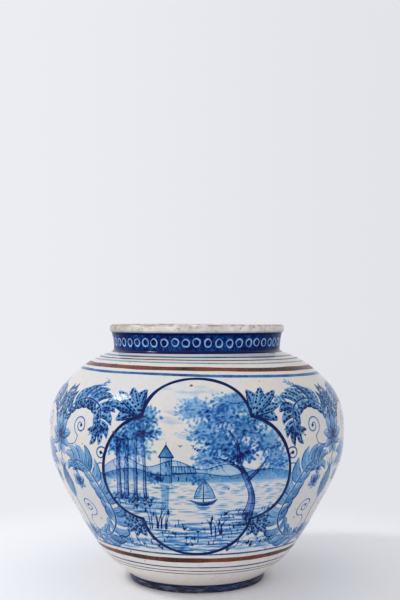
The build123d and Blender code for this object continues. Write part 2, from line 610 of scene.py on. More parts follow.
def grove(sheet, left, right, foot, top, trunks=4, tone=0.56):
    """Tall trees side by side, their trunks in upright strokes under a spreading roof of foliage."""
    rng = sheet.rng
    for x in np.linspace(left, right, trunks) + rng.normal(0, 1.0, trunks):
        lean, wide = rng.normal(0, 2), rng.uniform(2.6, 4.4)
        low = foot + rng.uniform(-3, 3)
        stem = [(x, low), (x + lean * 0.2, (low + top) / 2), (x + lean, top)]
        trunk(sheet, stem, (wide, wide * 0.8, wide * 0.5), 0.5, 0.5)
    span = right - left
    for k in range(trunks * 3):
        x = left + span * (k % trunks + rng.uniform(-0.6, 0.6)) / (trunks - 1)
        y = top + span * (0.5 * (k // trunks) - 0.35 + rng.uniform(-0.15, 0.15))
        clump(sheet, (x, y), rng.uniform(9, 14), rng.uniform(6, 9), tone * rng.uniform(0.6, 1.15), 40)
    clump(sheet, ((left + right) / 2, foot + 1), span * 0.8, 4.5, tone, 50)


def slender_tree(sheet, foot, height, tone=0.62):
    """A tall narrow tree, like a flame."""
    rng = sheet.rng
    body = height * np.array([0.1, 0.2, 0.16, 0.03])
    sheet.brush([foot, (foot[0], foot[1] + height * 0.9)], body, tone * 0.6, 0.3, 3.0)
    for _ in range(int(height * 2)):
        share, x = rng.uniform(0.06, 1), rng.uniform(-1, 1)
        spread = height * 0.13 * math.sin(math.pi * min(share * 0.9 + 0.12, 1)) ** 0.8
        start = np.array([foot[0] + x * spread, foot[1] + height * share * 0.92])
        end = start + (x * 1.2 + rng.normal(0, 0.3), rng.uniform(2.5, 5.5))
        sheet.brush([start, end], (1.9, 0.5), tone * (0.9 + 0.35 * x) * rng.uniform(0.8, 1.2), 0.2, 0.6)
    for _ in range(int(height / 3)):
        start = np.array([foot[0] + rng.uniform(0, 3), foot[1] + height * rng.uniform(0.05, 0.85)])
        sheet.line([start, start + (rng.uniform(0.5, 2), 3)], (1.2, 0.4))
    sheet.line([foot, (foot[0] + 0.3, foot[1] + height * 0.2)], (1.8, 1.0))


def sky(sheet, tone=0.2):
    """Loose level washes round the edge of the sky, which leave its middle bare."""
    rng = sheet.rng
    for _ in range(46):
        along, _ = headed(rng.uniform(0.05, math.pi - 0.05))
        x, y = along * rng.uniform(46, 88)
        half = rng.uniform(8, 22) / 2
        ends = [(x - half, y), (x + half, y + rng.normal(0, 1))]
        sheet.brush(ends, (0.8, rng.uniform(2.5, 5.5), 0.8), tone * rng.uniform(0.5, 1.2), 0.5, 1.4)


def hills(sheet, level, peaks, tone=0.3):
    """A far ridge: an outline over washes that fade towards its foot, with a few slanting strokes."""
    ridge = shaken(curve(*peaks, pieces=10), sheet.rng, 0.25)
    for depth in np.linspace(0.1, 0.94, 5):
        fall = np.column_stack([ridge[:, 0], ridge[:, 1] + (level - ridge[:, 1]) * depth])
        sheet.brush(fall, (3.6,), tone * (1.1 - 0.55 * depth), 0.3, 1.8)
    for _ in range(16):
        start = ridge[sheet.rng.integers(len(ridge))] - (0, 0.8)
        drop = start[1] - level
        slope = curve(start, start + (drop * 0.12, -drop * 0.3), start + (drop * 0.45, -drop * 0.6), pieces=4)
        sheet.line(slope, (0.8, 0.7, 0.3), tone * 1.7)
    sheet.line(ridge, (0.6, 1.0, 0.5), 0.62)


def cloud(sheet, centre, wide, tone=0.36):
    """A heaped cloud: a few scalloped outlines and a flat pale underside."""
    rng = sheet.rng
    for k in range(4):
        size = wide * rng.uniform(0.26, 0.36) * (1 - 0.25 * abs(k - 1.5))
        lump = (centre[0] + (k - 1.5) * wide * 0.5, centre[1])
        sheet.line(loop(lump, size, size * 0.85, 8, 176, 16), (0.4, 0.9, 0.4), tone)
    for k in range(3):
        start = (centre[0] - wide * rng.uniform(0.5, 1.1), centre[1] - 1.5 * k)
        end = (centre[0] + wide * rng.uniform(0.5, 1.1), start[1])
        sheet.brush([start, end], (0.6, 2.0, 0.5), tone * 0.6, 0.4)


def birds(sheet, centre, count):
    """A few birds far off, each two quick strokes."""
    for _ in range(count):
        x, y = centre + sheet.rng.normal(0, 1, 2) * (9, 4)
        size = sheet.rng.uniform(1.8, 2.8)
        for side in (-size, size):
            wing = curve((x, y), (x + side * 0.5, y + size * 0.5), (x + side, y + size * 0.25), pieces=4)
            sheet.line(wing, (0.9, 0.4), 0.85)


def water(sheet, left, right, top, bottom, tone=0.36):
    """Still water in level strokes that lengthen towards the viewer."""
    rng = sheet.rng
    y = top
    while y > bottom:
        depth = (top - y) / (top - bottom)
        x = left + rng.uniform(0, 8)
        while x < right:
            end = min(x + rng.uniform(5, 14) * (0.7 + depth), right)
            if rng.uniform() < 0.75:
                middle = ((x + end) / 2, y + rng.normal(0, 0.25))
                ripple = curve((x, y), middle, (end, y), pieces=5)
                sheet.line(ripple, (0.4, 0.8 + 0.3 * depth, 0.4), tone * rng.uniform(0.8, 1.5))
            if rng.uniform() < 0.5:
                sheet.brush([(x, y - 0.7), (end, y - 0.7)], (0.8, 2.2, 0.6), tone * 0.75, 0.3, 0.8)
            x = end + rng.uniform(1, 7)
        y -= 1.9 * (0.8 + 0.7 * depth)


def bank(sheet, left, right, top, bottom, tone, twigs=9):
    """A near bank in broad uneven strokes, with grass on its edge and forked twigs."""
    rng = sheet.rng
    y = top
    while y > bottom:
        x = left + rng.uniform(-4, 2)
        while x < right:
            end = x + rng.uniform(10, 26)
            rise = 1.6 * math.sin(x * 0.09 + y)
            middle = ((x + end) / 2, y + rise + rng.normal(0, 0.8))
            stroke = curve((x, y + rise), middle, (end, y + rise * 0.6), pieces=5)
            sheet.brush(stroke, (0.8, rng.uniform(2.0, 3.6), 0.8), tone * rng.uniform(0.6, 1.25), 0.5, 0.8)
            x = end - rng.uniform(0, 5)
        y -= 2.2
    for _ in range(int((right - left) * 0.55)):
        x, y = rng.uniform(left, right), top - rng.uniform(-0.05, 0.75) * (top - bottom)
        height = rng.uniform(2.5, 7)
        lean = rng.normal(0, 0.35) * height
        blade = curve((x, y), (x + lean * 0.3, y + height * 0.6), (x + lean, y + height), pieces=4)
        sheet.line(blade, (1.0, 0.8, 0.3), rng.uniform(0.6, 1.0))
    for _ in range(twigs):
        x, y = rng.uniform(left, right), rng.uniform(bottom, top)
        for spoke in np.linspace(-1.0, 1.0, 5):
            tip = (x + spoke * rng.uniform(3, 6), y + rng.uniform(2.2, 5.2))
            sheet.line(curve((x, y), (x + spoke * 1.2, y + 1.8), tip, pieces=4), (1.4, 0.9, 0.4))


def reeds(sheet, foot, count, height):
    """A stand of reeds with seed spikes."""
    rng = sheet.rng
    for _ in range(count):
        x, lean = foot[0] + rng.normal(0, 6), rng.normal(0, 0.16) * height
        top = np.array([x + lean, foot[1] + height * rng.uniform(0.7, 1.05)])
        stem = curve((x, foot[1]), (x + lean * 0.25, foot[1] + height * 0.5), top, pieces=6)
        sheet.line(stem, (1.1, 0.8, 0.4), 0.9)
        if rng.uniform() < 0.45:
            sheet.line([top - (0, 4.5), top], (2.1, 1.6, 0.6))


def tower(sheet, foot, size, tone=0.55):
    """A small round tower with a pointed roof beside a low house, shaded on the right."""
    x, y = foot
    wide, eaves, top = size * 0.3, y + size * 0.68, y + size
    left, right = x - wide / 2, x + wide / 2
    wall = ((left, y), (right, y)), ((left, eaves), (right, eaves))
    hatch(sheet, *wall, 4, (wide * 0.3,), (tone * 0.3, tone * 1.3))
    sheet.line([(left, y), (left, eaves)], (0.8,), 0.8)
    sheet.line([(right, y), (right, eaves)], (1.0,))
    roof = [(x - wide * 0.68, eaves), (x, top), (x + wide * 0.68, eaves)]
    hatch(sheet, ((x, top), (x, top)), (roof[0], roof[2]), 7, (0.5, 2.0), (tone, tone * 1.6))
    sheet.line([*roof, roof[0]], (0.9,), 0.95)
    sheet.line([(x, top), (x, y + size * 1.1)], (0.8, 0.5))
    end, low, ridge = x + wide * 2.6, y + size * 0.26, y + size * 0.44
    house = ((right, y + 1), (right, low)), ((end, y + 1), (end, low))
    hatch(sheet, *house, 3, (size * 0.09,), (tone * 0.5, tone * 0.4))
    tiles = ((right, ridge), (end - 1.5, ridge)), ((right, low), (end, low))
    hatch(sheet, *tiles, 8, (1.6, 2.0), (tone * 1.3, tone * 1.3))
    sheet.line([(right, ridge), (end - 1.5, ridge), (end + 0.6, low), (right, low)], (0.8,), 0.9)
    sheet.line([(end, low), (end, y)], (0.8,))
    for door, sill in ((x, 0.18), (x, 0.44), (x + wide * 1.1, 0.06), (x + wide * 1.8, 0.06)):
        sheet.line([(door, y + size * sill), (door, y + size * (sill + 0.09))], (1.3,))


def windmill(sheet, foot, size, tone=0.55):
    """A tower mill on a mound: tapering body, cap and four lattice sails."""
    x, y = foot
    low, high, cap = size * 0.19, size * 0.11, y + size * 0.56
    body = ((x - low, y), (x + low, y)), ((x - high, cap), (x + high, cap))
    hatch(sheet, *body, 5, (size * 0.07,), (tone * 0.35, tone * 1.4))
    for side in (-1, 1):
        sheet.line([(x + side * low, y), (x + side * high, cap)], (1.0,))
    sheet.brush(loop((x, cap), high * 0.7, size * 0.06, 0, 180, 10), (size * 0.07,), tone * 1.4, 0.2, 0.5)
    sheet.line(loop((x, cap), high * 1.15, size * 0.11, 0, 180, 14), (1.0,))
    hub = np.array([x - size * 0.02, cap + size * 0.04])
    for k in range(4):
        along, out = headed(math.radians(28 + 90 * k))
        tip, edge = hub + along * size * 0.46, out * size * 0.085
        sail = [hub + along * size * 0.12 + edge / 2, tip + edge / 2]
        sheet.brush(sail, (size * 0.08,), tone * 0.6, 0.4, 0.6)
        sheet.line([hub, tip], (1.2, 0.8))
        sheet.line([hub + along * size * 0.1 + edge, tip + edge], (0.8,), 0.9)
        for rung in np.linspace(0.14, 0.46, 7):
            root = hub + along * size * rung
            sheet.line([root, root + edge], (0.7,), 0.9)


def sailing_boat(sheet, foot, size, tone=0.5):
    """A small two-sailed boat with its reflection."""
    x, y = foot

    def at(across, up):
        return x + size * across, y + size * up

    hull = curve(at(-0.42, 0.1), at(-0.1, -0.02), at(0.3, 0.03), at(0.46, 0.15))
    sheet.brush(hull, (1.0, size * 0.15, size * 0.14, 0.8), 0.9, 0.2, 0.5)
    sheet.line(hull, (0.6, 1.3, 0.6))
    sheet.line([at(0, 0.06), at(0.02, 1)], (1.2, 0.7))
    for side, reach, high in ((1, 0.4, 0.92), (-1, 0.3, 0.8)):
        head, near, corner = (x + side * 0.5, y + size * high), x + side * 0.6, at(side * reach, 0.2)
        hatch(sheet, (head, head), ((near, y + size * 0.2), corner), 6, (0.6, 2.0), (tone * 0.3, tone))
        sheet.line(curve(head, at(side * reach * 0.72, 0.5), corner, pieces=6), (0.6, 1.0, 0.6), 0.9)
        sheet.line([corner, (near, y + size * 0.17)], (0.8,), 0.85)
    for k in range(5):
        drop, reach = y - size * (0.06 + 0.05 * k), size * (0.36 - 0.06 * k)
        sheet.line([(x - reach, drop), (x + reach, drop)], (0.4, 1.0, 0.4), 0.6)


def arched_bridge(sheet, left, span, level, tone=0.5):
    """A low stone bridge of three arches with its coping and joints."""
    arch = span / 3
    top = (left + span / 2, level + arch * 0.72)
    crown = curve((left - 6, level + 5), top, (left + span + 6, level + 5), pieces=12)
    sheet.brush(crown - (0, 2.4), (4.4,), tone * 0.8, 0.5, 0.7)
    for k, rise in enumerate((0.34, 0.4, 0.34)):
        middle = (left + arch * (k + 0.5), level)
        for shade in np.linspace(0.15, 0.9, 4):
            hollow = loop(middle, arch * 0.36 * shade, arch * rise * shade, 0, 180, 12)
            sheet.brush(hollow, (3.2,), 0.62, 0.2, 0.6)
        sheet.line(loop(middle, arch * 0.38, arch * rise, 0, 180, 18), (1.1,))
    sheet.line(crown, (1.0, 1.3, 1.0))
    sheet.line(crown + (0, 1.9), (0.7,), 0.8)
    for spot in crown[1::2]:
        sheet.line([spot - (0, 0.6), spot - (0, 3.2)], (0.6,), 0.8)


# The painting of the body

panel_lobe_reach = 39.0
panel_lobe_radius = 51.0
panel_line = 3.2
panel_middle_height = 127.0
painted_top_height = 208.6
painted_bottom_height = 47.6
panel_sheet_reach = 100.0
wide_sheet_reach = 128.0
ring_sheet_reach = 9.0
ring_count = 51


def panel_inside(x, y):
    """How far a point is inside the four-lobed panel, in mm."""
    lobes = [np.hypot(x - across * panel_lobe_reach, y - up * panel_lobe_reach)
             for across, up in ((-1, 0), (1, 0), (0, -1), (0, 1))]
    return panel_lobe_radius - np.minimum.reduce(lobes)


def paint_panel(canvas, centre, seed, scene):
    """One four-lobed panel inside a single dark line. Its scene is a row of motifs with what each is told."""
    sheet = Sheet(canvas, centre, panel_sheet_reach, panel_middle_height, seed)
    x, y = sheet.grid()
    inside = panel_inside(x, y)
    sheet.wipe(inside)
    sheet.limit = inside
    sky(sheet)
    for motif, *details in scene:
        motif(sheet, *details)
    around = np.arctan2(y, x)
    waver = 0.3 * np.sin(around * 7 + seed) + 0.2 * np.sin(around * 17 + seed * 2)
    sheet.layers["dark"] = np.maximum(sheet.layers["dark"], (panel_line + waver) / 2 - np.abs(inside))
    sheet.keep()


# A lake with a far tower and a boat, between a grove on the left and a broad tree on the right
lake_scene = (
    (cloud, (-8, 34), 13),
    (birds, (-6, 20), 6),
    (hills, -8, ((-90, 2), (-66, 13), (-44, 5), (-20, 11), (4, 3), (26, 8), (56, 1), (92, 9))),
    (hills, -9, ((-88, -4), (-60, 3), (-34, -2), (0, 1), (30, -3), (62, 2), (92, -3)), 0.42),
    (tower, (-27, -9), 34),
    (clump, (-38, -5), 7, 4, 0.6, 30),
    (clump, (2, -6), 7, 3.5, 0.5, 24),
    (water, -92, 92, -11, -54),
    (hatch, ((-32, -13), (-24, -13)), ((-31, -36), (-25, -36)), 3, (3.2, 1.5), (0.4, 0.5)),
    (sailing_boat, (6, -30), 27),
    (grove, -74, -48, -27, 30),
    (bank, -92, -40, -27, -44, 0.55),
    (broad_tree, (46, -48), 1),
    (bank, 18, 92, -40, -58, 0.62),
    (bank, -70, 70, -55, -92, 0.72, 14),
    (reeds, (-36, -60), 9, 27),
    (reeds, (22, -66), 6, 22),
)

# A windmill on a mound over a river, with a broad tree on the left
mill_scene = (
    (cloud, (30, 52), 13),
    (cloud, (62, 28), 9),
    (birds, (14, 22), 5),
    (hills, -8, ((-70, 4), (-40, 10), (-12, 2), (20, 9), (50, 2), (88, 8))),
    (windmill, (40, -10), 50),
    (clump, (64, -6), 11, 7, 0.6, 40),
    (clump, (14, -7), 8, 4, 0.5, 26),
    (bank, 4, 92, -8, -18, 0.5, 3),
    (water, -70, 92, -18, -56),
    (sailing_boat, (-4, -34), 22),
    (broad_tree, (-46, -48), -1),
    (bank, -92, -18, -40, -58, 0.62),
    (bank, -70, 70, -55, -92, 0.72, 14),
    (reeds, (40, -60), 9, 26),
)

# A stone bridge before far hills, between tall trees
bridge_scene = (
    (cloud, (-24, 44), 12),
    (cloud, (26, 60), 13),
    (birds, (0, 34), 6),
    (hills, 0, ((-88, 10), (-58, 24), (-30, 12), (4, 22), (34, 12), (64, 20), (88, 8))),
    (hills, -4, ((-88, 4), (-50, 9), (-16, 3), (22, 8), (60, 3), (88, 6)), 0.4),
    (tower, (22, -4), 26),
    (arched_bridge, -42, 78, -14),
    (water, -92, 92, -17, -56),
    (grove, 56, 76, -24, 26, 3),
    (slender_tree, (-58, -22), 72),
    (slender_tree, (-70, -26), 54),
    (slender_tree, (-46, -24), 46),
    (clump, (-50, -22), 12, 6, 0.66, 50),
    (bank, -92, -34, -26, -52, 0.6),
    (bank, 34, 92, -26, -52, 0.6),
    (bank, -70, 70, -54, -92, 0.72, 14),
    (reeds, (-20, -60), 9, 26),
    (reeds, (30, -64), 6, 22),
)


def paint_foliage(canvas, centre, seed):
    """Curling leaves, scrolls, blossoms and a seed head between two panels, alike on both sides of a stem."""
    sheet = Sheet(canvas, centre, wide_sheet_reach, panel_middle_height, seed)
    middle = canvas.up_at(panel_middle_height)
    top, bottom = (canvas.up_at(height) - middle for height in (painted_top_height, painted_bottom_height))
    bank(sheet, -92, 92, bottom + 15, bottom + 2, 0.5, 9)
    for flip in (-1, 1):
        rising_sides, upper_sides = ((0.75, 1.0), (1.0, 0.75))[::flip]

        def at(*points):
            return [(flip * px, py) for px, py in points]

        rising = curve(*at((3, -80), (32, -74), (53, -50), (52, -20), (40, 2), (24, 4), (20, -8)), pieces=9)
        upper = curve(*at((3, 34), (14, 54), (36, 64), (58, 54), (60, 36), (48, 30)), pieces=9)
        for start, scroll, radius, turns, angle in (
            ((14, -76), (20, -44), 11, 1.7, 270 - flip * 20),
            ((50, -30), (64, 14), 9, 1.6, 270 - flip * 20),
            ((8, 20), (36, 38), 10, -1.7, 270 - flip * 20),
            ((52, -58), (72, -44), 7, -1.4, 90 + flip * 40),
        ):
            tendril(sheet, *at(start, scroll), radius, flip * turns, angle)
        leaf(sheet, rising, 17, 0.66, rising_sides, False)
        leaf(sheet, upper, 15, 0.78, upper_sides)
        for start, heading, length, tone in (
            ((34, 68), 90 - flip * 36, 20, 0.6),
            ((60, 60), 90 - flip * 62, 22, 0.6),
            ((40, -76), -90 + flip * 70, 20, 0.5),
            ((58, 32), 90 - flip * 66, 15, 0.6),
        ):
            sprig(sheet, *at(start), heading, length, tone)
        blossom(sheet, (flip * 24, -16), 9, 6, 0.5, 20)
    sheet.line(curve((0, bottom + 2), (0.6, -66), (-0.5, -40), (0, -30)), (1.8, 1.5, 1.3))
    seed_head(sheet, (0, -34), 28)
    sheet.line([(0, 2), (0.4, 14)], (1.4,))
    blossom(sheet, (0, 27), 20, 9, 0.52, 90)
    leaf(sheet, curve((0, 46), (1, 62), (0, top - 14)), 11, 0.62, (0.85, 0.85))
    blossom(sheet, (0, -76), 10, 7, 0.5, 10)
    sheet.keep()


def paint_corners(canvas, centre, seed):
    """Palmettes that fan out from the four notches of a panel."""
    sheet = Sheet(canvas, centre, wide_sheet_reach, panel_middle_height, seed)
    x, y = sheet.grid()
    sheet.limit = -panel_inside(x, y)
    notch = panel_lobe_reach / 2 + math.sqrt(panel_lobe_radius**2 / 2 - panel_lobe_reach**2 / 4)
    for flip, heading in ((-1, 135), (1, 45)):
        sheet.wipe(15 - np.hypot(x - flip * (notch + 9), y - notch - 9))
        palmette(sheet, (flip * notch, notch), heading, 34)
        palmette(sheet, (flip * notch, -notch), -heading, 26, 0.68)
    sheet.keep()


def paint_body(canvas):
    """The whole painting of the bowl and shoulder: banding lines, foliage, corners and panels."""
    rng = np.random.default_rng(5)
    # The upper lines tilt more from the neck down, and the lower ones more from the foot up
    tilted_height, full_tilt = 212.0, 2.7
    low_tilt_reach, low_tilt = 12.0, 1.0
    for height, width, layer, tone in (
        (226.8, 3.2, "fine", 0.66),
        (224.3, 2.0, "brown", 0),
        (221.8, 2.3, "fine", 0.42),
        (216.8, 6.0, "brown", 0),
        (211.4, 3.5, "fine", 0.72),
        (46.3, 2.1, "fine", 0.7),
        (39.8, 5.6, "brown", 0),
        (31.5, 1.9, "fine", 0.74),
        (27.3, 1.3, "brown", 0),
        (24.2, 1.4, "fine", 0.62),
        (foot_top, 2.0, "dark", 0),
    ):
        share = (neck_root_height - height) / (neck_root_height - tilted_height)
        lift = (height - foot_top) / low_tilt_reach
        tilt = full_tilt * min(1.0, share) if height > panel_middle_height else low_tilt * min(1.0, lift)
        canvas.band(height, width, layer, tone, tilt, rng)
    scenes = (lake_scene, mill_scene, bridge_scene)
    for k in range(len(scenes)):
        paint_foliage(canvas, 60 + 120 * k, 40 + k)
    for k, scene in enumerate(scenes):
        paint_corners(canvas, 120 * k, 60 + k)
        paint_panel(canvas, 120 * k, 80 + k, scene)


def paint_collar(canvas):
    """A chain of pale rings round the collar, each with its own slip of the brush."""
    for k in range(ring_count):
        centre = k * 360 / ring_count
        sheet = Sheet(canvas, centre, ring_sheet_reach, (neck_root_height + neck_top) / 2, 170 + k)
        rng = sheet.rng
        wide, high = rng.uniform(3.1, 3.5), rng.uniform(3.45, 3.85)
        x, y = sheet.grid()
        x, y = x - rng.normal(0, 0.3), y - rng.normal(0.0, 0.2)
        around, reach = np.arctan2(y / high, x / wide), np.hypot(x / wide, y / high)
        press = 1.08 + 0.35 * np.sin(around + rng.uniform(0, TURN))
        press += 0.2 * np.sin(2 * around + rng.uniform(0, TURN))
        bent = 0.03 * np.sin(3 * around + rng.uniform(0, TURN)) + 0.02 * np.sin(5 * around)
        inside = press / 2 - np.abs(reach - 1 - bent) * min(wide, high)
        sheet.layers["pale"] = np.maximum(sheet.layers["pale"], inside)
        sheet.keep()


# Turned meshes

sharp_angle = 38.0


def thrown(angle, height):
    """Small swings of the radius that a thrown pot has, in mm, the same for every piece at one place."""
    return (
        0.28 * np.sin(2 * angle + 0.7 + height * 0.004)
        + 0.14 * np.sin(3 * angle + 2.1 - height * 0.01)
        + 0.05 * np.sin(5 * angle + height * 0.05)
        + 0.04 * np.sin(height * 0.42 + 1.5 * np.sin(angle))
    )


def ridged(line, distance, ridge=0.7, pitch=11.0):
    """The inner face of a wall, with the low ridges that a potter's fingers leave."""
    run = run_along(line)
    depth = distance + ridge * np.sin(run * TURN / pitch) * np.sin(run * 0.05) ** 2
    return line + headings(line)[1] * depth[:, None]


def add_object(name, data):
    """An object in the scene that holds a mesh, a lamp or a camera."""
    made = bpy.data.objects.new(name, data)
    bpy.context.scene.collection.objects.link(made)
    return made


def turned(name, profile, closed, painted, layers=None, lift=None):
    """A turned piece from its profile, which ends on the axis where it isn't closed.
    Layers hold the paint at each vertex of the painted rows, and lift raises each vertex a little."""
    profile = np.asarray(profile, float)
    radii, heights = profile.T
    rows = len(profile)
    poles = radii < axis_gap
    angles = column_angles
    radius = radii[:, None] + np.where(poles, 0, 1)[:, None] * thrown(angles[None, :], heights[:, None])
    height = np.broadcast_to(heights[:, None], radius.shape)
    if lift is not None:
        height = height + lift(angles[None, :], heights[:, None])
    places = np.stack([radius * np.sin(angles), -radius * np.cos(angles), height], axis=-1) * MM
    shown = np.ones((rows, columns), bool)
    shown[poles, 1:] = False
    numbers = np.cumsum(shown.ravel()).reshape(rows, columns) - 1
    numbers[poles] = numbers[poles][:, :1]
    spans = rows if closed else rows - 1
    low, high = np.arange(spans), (np.arange(spans) + 1) % rows
    left, right = np.arange(columns), (np.arange(columns) + 1) % columns
    around = ((low, left), (low, right), (high, right), (high, left))
    faces = np.stack([numbers[ring][:, side] for ring, side in around], axis=-1)
    map_corners = unrolled(profile, spans, painted)
    loops, starts, map_places = [], [], []
    count = 0
    for span in range(spans):
        corners = [0, 2, 3] if poles[low[span]] else [0, 1, 2] if poles[high[span]] else [0, 1, 2, 3]
        loops.append(faces[span][:, corners].ravel())
        map_places.append(map_corners[span][:, corners].reshape(-1, 2))
        starts.append(count + np.arange(columns) * len(corners))
        count += columns * len(corners)
    mesh = bpy.data.meshes.new(name)
    mesh.vertices.add(int(shown.sum()))
    mesh.vertices.foreach_set("co", places[shown].astype(np.float32).ravel())
    mesh.loops.add(count)
    mesh.loops.foreach_set("vertex_index", np.concatenate(loops).astype(np.int32))
    mesh.polygons.add(spans * columns)
    mesh.polygons.foreach_set("loop_start", np.concatenate(starts).astype(np.int32))
    mesh.update(calc_edges=True)
    map_data = mesh.uv_layers.new(name="OFBake").data
    map_data.foreach_set("uv", np.concatenate(map_places).astype(np.float32).ravel())
    for layer, grid in (layers or {}).items():
        values = np.full((rows, columns), -far if layer in Layers.edges else 0.0)
        values[painted] = grid
        layer_data = mesh.attributes.new(layer, "FLOAT", "POINT").data
        layer_data.foreach_set("value", values[shown].astype(np.float32))
    return add_object(name, mesh)


def unrolled(profile, spans, painted, plain_share=0.3):
    """Map places of each face's corners. Once round is the map's width, and the profile is its
    height, with less height for what isn't painted."""
    following = np.roll(profile, -1, axis=0)[:spans]
    weights = np.full(spans, plain_share)
    weights[painted.start : max(painted.stop - 1, painted.start)] = 1.0
    ups = np.concatenate([[0], np.cumsum(np.hypot(*(following - profile[:spans]).T) * weights)])
    ups /= ups[-1]
    across = np.arange(columns + 1) / columns
    corners = np.empty((spans, columns, 4, 2))
    corners[..., 0, 0] = corners[..., 3, 0] = across[None, :-1]
    corners[..., 1, 0] = corners[..., 2, 0] = across[None, 1:]
    corners[..., 0, 1] = corners[..., 1, 1] = ups[:-1, None]
    corners[..., 2, 1] = corners[..., 3, 1] = ups[1:, None]
    return corners


def dress(piece, node, material):
    """Smooths a piece, gives it its glaze and sets it in the CAD frame in place of its node."""
    piece.data.shade_smooth()
    piece.data.set_sharp_from_angle(angle=math.radians(sharp_angle))
    piece.data.materials.append(material)
    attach(piece, "root")
    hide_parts(node)


# Node materials


def linear(red, green, blue):
    """A colour as seen on a screen, 0 to 255, as the linear values that nodes take."""
    shares = [channel / 255 for channel in (red, green, blue)]
    return (*[s / 12.92 if s <= 0.04045 else ((s + 0.055) / 1.055) ** 2.4 for s in shares], 1.0)


class Value:
    """A value in a node tree. Sums, differences and products with it add the nodes that work them out."""

    def __init__(self, nodes, socket):
        self.nodes = nodes
        self.socket = socket

    def __add__(self, other):
        return self.nodes.math("ADD", self, other)

    def __sub__(self, other):
        return self.nodes.math("SUBTRACT", self, other)

    def __rsub__(self, other):
        return self.nodes.math("SUBTRACT", other, self)

    def __mul__(self, other):
        return self.nodes.math("MULTIPLY", self, other)

    def eased(self, low, high, start=0.0, end=1.0):
        """From start to end as the value goes from low to high, with eased ends."""
        inputs = {"Value": self, "From Min": low, "From Max": high, "To Min": start, "To Max": end}
        return self.nodes.value("ShaderNodeMapRange", "Result", inputs, interpolation_type="SMOOTHSTEP")


class Nodes:
    """A node tree in the making, with a short call for each kind of node."""

    def __init__(self, tree):
        self.tree = tree

    def node(self, kind, inputs=None, **settings):
        made = self.tree.nodes.new(kind)
        for name, value in settings.items():
            setattr(made, name, value)
        for name, value in (inputs or {}).items():
            self.feed(made.inputs[name], value)
        return made

    def feed(self, socket, value):
        if isinstance(value, Value):
            self.tree.links.new(value.socket, socket)
        else:
            socket.default_value = value

    def outputs(self, node, *names):
        """Values from the outputs of a node, by name."""
        return [Value(self, node.outputs[name]) for name in names]

    def value(self, kind, output, inputs=None, **settings):
        """The value from one output of a new node."""
        return Value(self, self.node(kind, inputs, **settings).outputs[output])

    def math(self, operation, first, second=0.0, clamp=False):
        inputs = {0: first, 1: second}
        return self.value("ShaderNodeMath", 0, inputs, operation=operation, use_clamp=clamp)

    def larger(self, first, second, clamp=False):
        return self.math("MAXIMUM", first, second, clamp)

    def vector(self, operation, output, first, second=(0, 0, 0)):
        return self.value("ShaderNodeVectorMath", output, {0: first, 1: second}, operation=operation)

    def part(self, vector, axis):
        """One coordinate of a vector, by the name of its axis."""
        return self.value("ShaderNodeSeparateXYZ", axis, {"Vector": vector})

    def mix(self, share, first, second, blend="MIX"):
        made = self.node("ShaderNodeMix", data_type="RGBA", blend_type=blend)
        colours = [s for s in made.inputs if s.type == "RGBA"]
        self.feed(made.inputs["Factor"], share)
        self.feed(colours[0], first)
        self.feed(colours[1], second)
        return Value(self, next(s for s in made.outputs if s.type == "RGBA"))

    def tinted(self, share, colour, factor):
        """A colour, times a factor for each of red, green and blue by share."""
        return self.mix(share, colour, self.mix(1.0, colour, (*factor, 1), "MULTIPLY"))

    def layered(self, colour, *layers):
        """A colour with others laid over it in turn, each by its share and as seen on a screen."""
        for share, over in layers:
            colour = self.mix(share, colour, linear(*over))
        return colour

    def ramp(self, value, *stops):
        """Linear colours at places from 0 to 1."""
        made = self.node("ShaderNodeValToRGB", {"Fac": value})
        elements = made.color_ramp.elements
        while len(elements) < len(stops):
            elements.new(0.5)
        for element, (place, colour) in zip(elements, stops):
            element.position = place
            element.color = colour
        return Value(self, made.outputs["Color"])

    def show(self, share, first, second):
        """Shows the first shader, or the second by share."""
        mixed = self.value("ShaderNodeMixShader", "Shader", {"Fac": share, 1: first, 2: second})
        output = next(n for n in self.tree.nodes if n.type.startswith("OUTPUT"))
        self.feed(output.inputs["Surface"], mixed)


